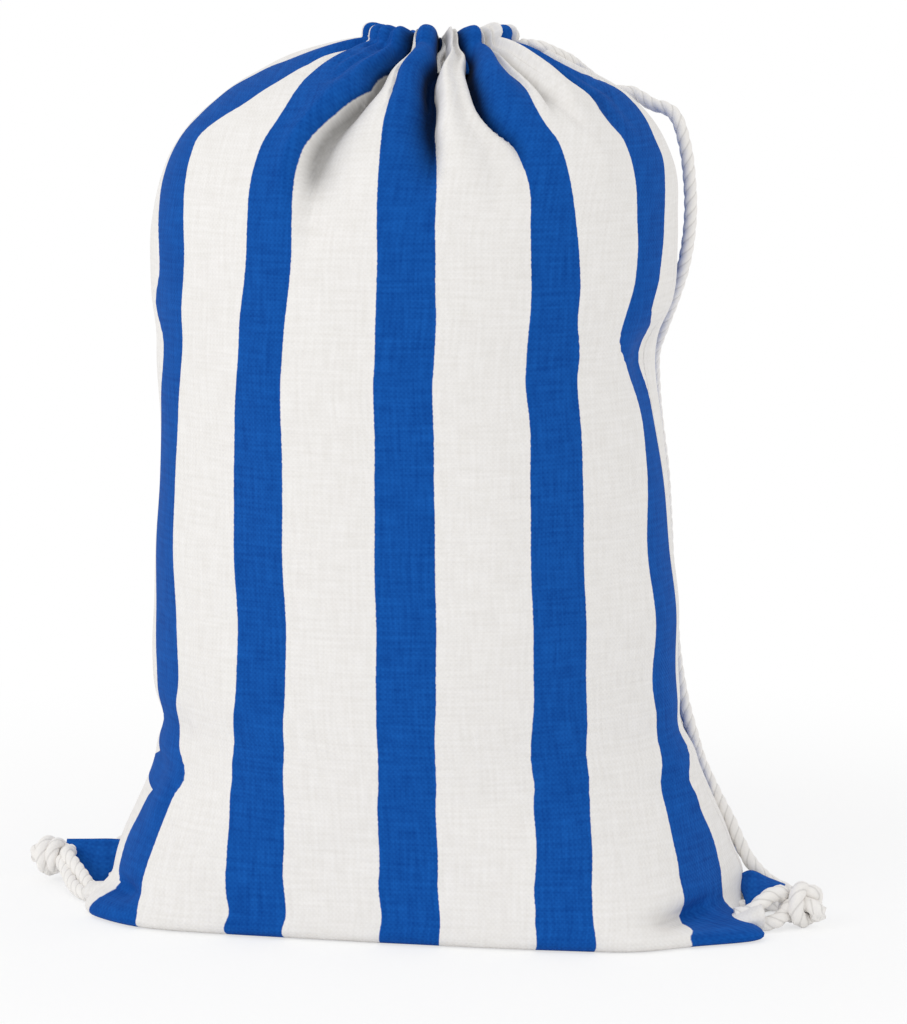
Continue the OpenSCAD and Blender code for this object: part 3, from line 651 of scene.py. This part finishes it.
def makeSeamTape(side, cloth):
    # a tape folded over the raw edges, its section a shallow parabola, carried up the seam just inside the cloth
    column, inward = (0, 1) if side == "left" else (-1, -1)
    seam = cloth[(cloth[:, column, 2] > seamTape["lowest"]) & (np.arange(len(cloth)) < hemRow), column]
    v = np.linspace(-1, 1, 9)
    x = seam[:, 0][:, None] + inward * (seamTape["inside"] + seamTape["edges"] * v[None] ** 2)
    grid = np.stack([x, seamTape["half"] * v[None] + 0 * x, seam[:, 2][:, None] + 0 * x], -1)
    obj = gridMesh(side + "_seam_tape", grid, material["tape"], flip=side == "right")
    thicken(obj, seamTape["thickness"], offset=0.0)
    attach(obj, "bag")
    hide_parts(side + "_side_tape")


# folds of the front: places across the cloth and heights of the top and lower end, half widths of the left and right
# flanks, and depth at the top (below nothing: a ridge), in millimetres
frontFolds = np.array([
    [-55, -50, 424, 318, 5, 17, 16], [-65, -65, 412, 345, 9, 5, -4], [14.2, 12.5, 424, 345, 11, 3.5, 15],
    [25, 27, 412, 350, 6, 10, -3], [58, 60, 424, 358, 4, 6.2, 13], [34, 34, 424, 398, 12, 12, 8.5],
    [70, 70, 424, 400, 10, 10, 3.5], [-70.1, -71, 424, 396, 3.5, 3.5, 7], [-61.1, -62.5, 424, 394, 3.5, 3.5, 8],
    [-106, -100, 424, 392, 20, 18, 3], [94, 98, 424, 380, 3.5, 5, 9], [98, 113, 398, 368, 4, 6, 4],
    [107.7, 111, 415, 340, 8, 8, -3], [129, 133, 424, 372, 6, 6, 6], [142, 146, 404, 372, 6, 8, 2.5],
    [40, 42, 372, 335, 6, 12, 2.5]]) / 1000
# knuckles of the front hem: stretches of cloth, from the centre, between the gathers, and the height at which each
# fades out, in millimetres
frontKnuckles = np.array([
    [-178, -159, 400], [-158, -131, 402], [-129, -92, 400], [-87.5, -77.5, 400], [-76.5, -67.5, 396],
    [-66.5, -57, 392], [-15.5, 8.5, 375], [9.5, 15, 402], [18, 55, 375], [58, 85, 380], [88, 106, 385],
    [108, 128, 390], [130.6, 157, 392], [159, 178, 385]]) / 1000
# broad swells (out) and dents (in): place across (0 to 1), height, spreads, amount out
swells = np.array([
    [0.965, 0.268, 0.06, 0.012, -0.0055], [0.97, 0.246, 0.07, 0.03, -0.004],
    [0.185, 0.015, 0.03, 0.0038, -0.006], [0.832, 0.013, 0.048, 0.004, -0.012],
    [0.1, 0.0665, 0.05, 0.008, -0.0035], [0.17, 0.052, 0.03, 0.012, 0.002],
    [0.62, 0.11, 0.13, 0.1, 0.002], [0.36, 0.2, 0.16, 0.09, 0.0015]])
# the front corners of the base spread on the floor: place across, spread, height, reach in x and y
baseLobes = np.array([[0.14, 0.05, 0.013, -0.007, -0.006], [0.87, 0.043, 0.0085, 0.024, -0.004],
                      [0.884, 0.02, 0.013, 0.002, -0.002]])
# what moves the cloth off its plain outline, in metres. A knuckle is a blunt arch, full at a height and from a width,
# with its reach outside and inside the hem; a fold's painted shade is darkest from a depth, and fades in upwards from a
# height
knuckle = dict(full=0.413, middle=0.35, power=2.5, wide=0.022, growth=1.2, outside=0.0075, inside=0.004)
fold = dict(power=1.5, fade=2.5, below=0.01, inside=0.7, darkest=0.0098, shadeFrom=0.33, shadeOver=0.03)
# the gathers of the back, each value with the spread that chance adds to it
backGathers = dict(count=13, share=(0.7, 1.4), gap=0.001, knuckleEnd=(0.375, 0.02), spread=1.04, top=0.424,
                   foldEnd=(0.36, -0.02), leftFlank=(0.006, 0.004), rightFlank=(0.006, 0.008), depth=(0.003, 0.003))
# slack cloth, in waves per width and per metre of height
slack = dict(waves=7, across=(1.2, 4.5), high=(2.0, 7.0), reach=0.0022)
sideSeam = dict(width=0.0022, depth=0.0008)
# the hem: the way its folds point, how much it is raised in front and behind, and its rounding off
hem = dict(outwards=0.88, upwards=0.48, front=0.0015, back=-0.004, raiseFrom=0.398, raiseOver=0.012,
           roundings=6, roundFrom=0.396, roundOver=0.014)
# the foot of the front runs forward near the floor, and beside it the blue runs out to the left seam
foot = dict(reach=0.0125, height=0.028, blueLow=0.055, blueLowFade=0.003, blueHigh=0.0705, blueHighFade=0.008)


def stripePlace(z, u):
    # how far each point lies from the middle of the cloth: straight between the ten stripe edges and the two seams
    pitch, half = canvas["pitch"], canvas["width"] / 2
    marks = [k * pitch + e for k in range(-2, 3) for e in (-half, half)]
    marks = np.array([-bag["flatWidth"] / 2] + marks + [bag["flatWidth"] / 2])
    edges = [curveThrough(stripeHeights, column / 1000, z) for column in stripeEdges.T]
    leaves = smooth((z - foot["blueLow"]) / foot["blueLowFade"]) * smooth((foot["blueHigh"] - z) / foot["blueHighFade"])
    edges[0] = edges[0] * (1 - leaves)
    edges = np.stack([0 * z] + edges + [0 * z + 1], axis=1)
    place = marks[0] + 0 * u[None] + 0 * z[:, None]
    for k in range(len(marks) - 1):
        span = np.maximum(edges[:, k + 1] - edges[:, k], 1e-5)
        place = place + np.clip((u[None] - edges[:, k][:, None]) / span[:, None], 0, 1) * (marks[k + 1] - marks[k])
    return place


def knuckleHeight(place, z, knuckles):
    # rounded ridges between gathers: a blunt arch over each stretch of cloth, lower where it is narrow, that grows
    # from nothing where the knuckle fades out to its full height at the hem
    k = np.clip(np.searchsorted(knuckles[:, 0], place, side="right") - 1, 0, len(knuckles) - 1)
    t = np.clip((place - knuckles[k, 0]) / (knuckles[k, 1] - knuckles[k, 0]), 0, 1)
    grown = smooth((z[:, None] - knuckles[k, 2]) / (knuckle["full"] - knuckles[k, 2])) ** knuckle["growth"]
    tall = np.clip((knuckles[k, 1] - knuckles[k, 0]) / knuckle["wide"], 0, 1)
    return (knuckle["middle"] - np.abs(2 * t - 1) ** knuckle["power"]) * tall * grown


def foldDepth(place, z, folds):
    # each fold is a pointed bell across the cloth, with its own two flanks, that fades towards its lower end
    total = 0 * place
    for topPlace, lowPlace, top, low, leftFlank, rightFlank, depth in folds:
        down = np.clip((top - z) / (top - low), 0, 1)[:, None]
        off = place - mix(topPlace, lowPlace, down)
        bell = np.exp(-np.abs(off / np.where(off < 0, leftFlank, rightFlank)) ** fold["power"])
        total = total - bell * mix(depth, 0, down ** fold["fade"]) * (z[:, None] > low - fold["below"])
    return total


def backPattern(seed):
    # knuckles and folds of the back: the cloth is cut at seeded places, a knuckle between two cuts and a fold at each
    chance = np.random.default_rng(seed)
    count = backGathers["count"]
    cuts = np.cumsum(chance.uniform(*backGathers["share"], count))
    cuts = (cuts / cuts[-1] - 0.5) * bag["flatWidth"]
    cuts = np.concatenate([[-bag["flatWidth"] / 2], cuts])

    def some(key, number):
        least, more = backGathers[key]
        return least + more * chance.random(number)

    knuckles = np.stack([cuts[:-1], cuts[1:] - backGathers["gap"], some("knuckleEnd", count)], axis=1)
    middles = cuts[1:-1]
    folds = np.stack([middles, middles * backGathers["spread"], backGathers["top"] + 0 * middles,
                      some("foldEnd", count - 1), some("leftFlank", count - 1), some("rightFlank", count - 1),
                      some("depth", count - 1)], axis=1)
    return knuckles, folds


def slackWaves(z, u, seed):
    # slow waves that run mostly up and down, less near the seams, the floor and the gathers
    chance = np.random.default_rng(seed)
    wave = 0 * z[:, None] * u[None]
    for k in range(slack["waves"]):
        across, high = chance.uniform(*slack["across"]), chance.uniform(*slack["high"])
        turn = across * u[None] + high * z[:, None] + chance.random()
        wave = wave + np.sin(2 * np.pi * turn) / slack["waves"]
    calm = smooth((z - 0.012) / 0.05) * (1 - 0.6 * smooth((z - 0.34) / 0.06))
    return slack["reach"] * wave * calm[:, None] * np.sin(np.pi * u)[None] ** 0.5


def outwards(points, side):
    # direction in which each point of the cloth is pushed: its normal, but level and a little up along the hem
    normal = np.cross(np.gradient(points, axis=1), np.gradient(points, axis=0)) * (1 if side < 0 else -1)
    normal /= np.maximum(np.linalg.norm(normal, axis=-1), 1e-9)[..., None]
    level = normal[hemRow] * np.array([1, 1, 0])
    level = level / np.linalg.norm(level, axis=-1)[:, None]
    normal[hemRow:] = level * hem["outwards"] + np.array([0, 0, hem["upwards"]])
    return normal


def clothPiece(name, side, seed, seams=None):
    # a half of the bag: its plain outline pushed out and in by knuckles, folds, slack waves, swells and the side
    # seams, then rounded at the hem and spread at the foot; the back takes its side edges from the front
    points, u, up, halfLength = clothGrid(side)
    z = points[:, 0, 2].copy()
    rows = np.arange(len(z))
    front, aboveBase = side < 0, rows > counts["under"]
    if front:
        place, (knuckles, folds) = stripePlace(z, u), (frontKnuckles, frontFolds)
    else:
        place = np.repeat((u[None] - 0.5) * bag["flatWidth"], len(z), axis=0)
        knuckles, folds = backPattern(seed)
    normal = outwards(points, side)
    # gathers: at their full height over the hem, and a little less inside it
    inner = np.clip((rows - rollEnd) / counts["inside"], 0, 1)
    gatherZ = np.where(rows > rollEnd - 4, knuckle["full"], z)
    push = knuckleHeight(place, gatherZ, knuckles) * mix(knuckle["outside"], knuckle["inside"], inner)[:, None]
    push = push + foldDepth(place, gatherZ, folds) * mix(1.0, fold["inside"], inner)[:, None]
    push = push + slackWaves(z, u, seed + 7)
    for where, height, spreadAcross, spreadUp, amount in swells:
        high = amount * np.exp(-((z - height) / spreadUp) ** 2) * aboveBase
        # on the back each one is met again past the side seam that it is near
        for w in ([u] if front else [2 - u, -u]):
            push = push + high[:, None] * np.exp(-((w[None] - where) / spreadAcross) ** 2)
    # side seams draw the cloth in by a hair
    seam = np.exp(-(np.minimum(u, 1 - u) * halfLength[:, None] / sideSeam["width"]) ** 2)
    push = push - sideSeam["depth"] * seam * aboveBase[:, None]
    # painted shade: the deeper the gathers and folds push the cloth in near the hem, the darker its colour is painted;
    # it goes to the material in the fold map
    shade = np.clip(-push / fold["darkest"], 0, 1) * smooth((z - fold["shadeFrom"]) / fold["shadeOver"])[:, None]
    points = points + normal * push[..., None]
    raised = smooth((z - hem["raiseFrom"]) / hem["raiseOver"])[:, None] * np.sin(np.pi * u)[None] ** 0.5
    points[..., 2] += raised * (hem["front"] if front else hem["back"])
    # the corner between dome and hem is rounded off by averaging each row with its neighbours
    nearHem = (smooth((z - hem["roundFrom"]) / hem["roundOver"]) * (rows < hemRow + 2))[1:-1, None, None]
    for k in range(hem["roundings"]):
        points[1:-1] += nearHem * 0.5 * (0.5 * (points[:-2] + points[2:]) - points[1:-1])
    if front:
        for where, spread, high, reachX, reachY in baseLobes:
            near = np.exp(-((u[None] - where) / spread) ** 2) * np.exp(-(z[:, None] / high) ** 4)
            near = near * np.clip((rows - 4) / 4, 0, 1)[:, None]
            points = points + near[..., None] * np.array([reachX, reachY, 0.0])
        forward = np.exp(-(z / foot["height"]) ** 2) * np.clip((rows - 2) / 6, 0, 1)
        points[..., 1] -= foot["reach"] * forward[:, None] * np.sin(np.pi * u)[None] ** 0.7
    points[..., 2] = np.maximum(points[..., 2], 0.0)
    if seams is not None:
        points[:, 0], points[:, -1] = seams[:, 0], seams[:, -1]
    length = np.repeat(up[:, None], len(u), axis=1)
    maps = {"cloth": np.stack([place, length], -1),
            "grain": np.stack([(u[None] - 0.5) * halfLength[:, None], length], -1),
            "fold": np.stack([shade, shade], -1)}
    obj = gridMesh(name, points, material["canvas"], flip=side > 0, maps=maps)
    thicken(obj, bag["cloth"])
    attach(obj, "bag")
    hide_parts(*(("front_panel", "front_channel") if side < 0 else ("back_panel", "back_channel")))
    return points


# light: plain level from a pale world, a soft key from the front left and a weak fill from the right; lamps point at
# aim, and power is in watts
studio = dict(world=0.85, aim=(0, 0, 0.2), key=dict(power=13.5, size=1.6, place=(-1.5, -1.9, 1.5)),
              fill=dict(power=1.6, size=1.2, place=(1.9, -0.2, 0.9)))
# floor: a round sheet of white paper just under the bag, and where it starts and ends fading to plain white
paper = dict(colour="#fdfdfd", radius=6, below=0.0004, rings=40, around=96, fadeFrom=0.22, fadeTo=0.6, nearShare=0.66)


def makeFloor():
    # rings whose radii grow by an even factor; the white is for the camera and gloss alone, so the bag stays lit by
    # paper
    rings = np.concatenate([[0.001], np.geomspace(0.05, paper["radius"], paper["rings"])])[:, None]
    a = circle(paper["around"])[None]
    grid = np.stack([rings * np.cos(a), rings * np.sin(a), 0 * rings * a - paper["below"]], -1)
    m = bpy.data.materials.new("white_paper_floor")
    t = emptyTree(m)
    matt = node(t, "BsdfDiffuse", {"Color": linear(paper["colour"])})
    white = node(t, "Emission", {"Color": (1, 1, 1, 1), "Strength": 1.0})
    far = node(t, "VectorMath LENGTH", [node(t, "NewGeometry").outputs["Position"]])
    fade = node(t, "MapRange", {"From Min": paper["fadeFrom"], "From Max": paper["fadeTo"],
                                "Value": far.outputs["Value"]}, interpolation_type="SMOOTHSTEP")
    near = node(t, "MapRange", {"To Min": paper["nearShare"], "To Max": 1.0, "Value": fade})
    ray = node(t, "LightPath")
    seen = node(t, "Math MAXIMUM", [ray.outputs["Is Camera Ray"], ray.outputs["Is Glossy Ray"]])
    share = node(t, "Math MULTIPLY", [near, seen])
    node(t, "OutputMaterial", {"Surface": node(t, "MixShader", [share, matt, white])})
    obj = gridMesh("floor", grid, m, wrap=True, flip=True)


def makeLight():
    # the world lights the bag at its own strength, and is plain white to the camera, in gloss and through glass
    world = bpy.data.worlds.new("studio")
    bpy.context.scene.world = world
    t = emptyTree(world)
    light = node(t, "Background", {"Color": (1, 1, 1, 1), "Strength": studio["world"]})
    white = node(t, "Background", {"Color": (1, 1, 1, 1), "Strength": 1.0})
    ray = node(t, "LightPath")
    seen = node(t, "Math MAXIMUM", [ray.outputs["Is Glossy Ray"], ray.outputs["Is Transmission Ray"]])
    seen = node(t, "Math MAXIMUM", [ray.outputs["Is Camera Ray"], seen])
    node(t, "OutputWorld", {"Surface": node(t, "MixShader", [seen, light, white])})
    for name in ("key", "fill"):
        facts = studio[name]
        area = bpy.data.lights.new(name, "AREA")
        area.energy, area.size = facts["power"], facts["size"]
        lamp = addObject(name, area)
        lamp.location = facts["place"]
        lamp.rotation_euler = (Vector(facts["place"]) - Vector(studio["aim"])).to_track_quat("Z", "Y").to_euler()


makeCamera()
material = dict(canvas=canvasMaterial(), tape=tapeMaterial(), cord=cordMaterial())
makeLegs()
makeDrawcord(-1, drawcords["leftLevel"])
makeDrawcord(1, drawcords["rightLevel"])
print("cords made")
frontPoints = clothPiece("front_cloth", -1, 3)
clothPiece("back_cloth", 1, 11, frontPoints)
makeSeamTape("left", frontPoints)
makeSeamTape("right", frontPoints)
print("canvas and seam tapes made")
for side in ("left", "right"):
    makeCorner(side)
    makeSleeve(side)
    makeStopper(side)
print("corners, sleeves and knots made")
# the tape under the base keeps its solid and needs only its material
for slotIn in bpy.data.objects["base_tape"].material_slots:
    slotIn.material = material["tape"]
makeFloor()
makeLight()
bpy.context.scene.view_settings.view_transform = "Standard"
print("floor and light made")
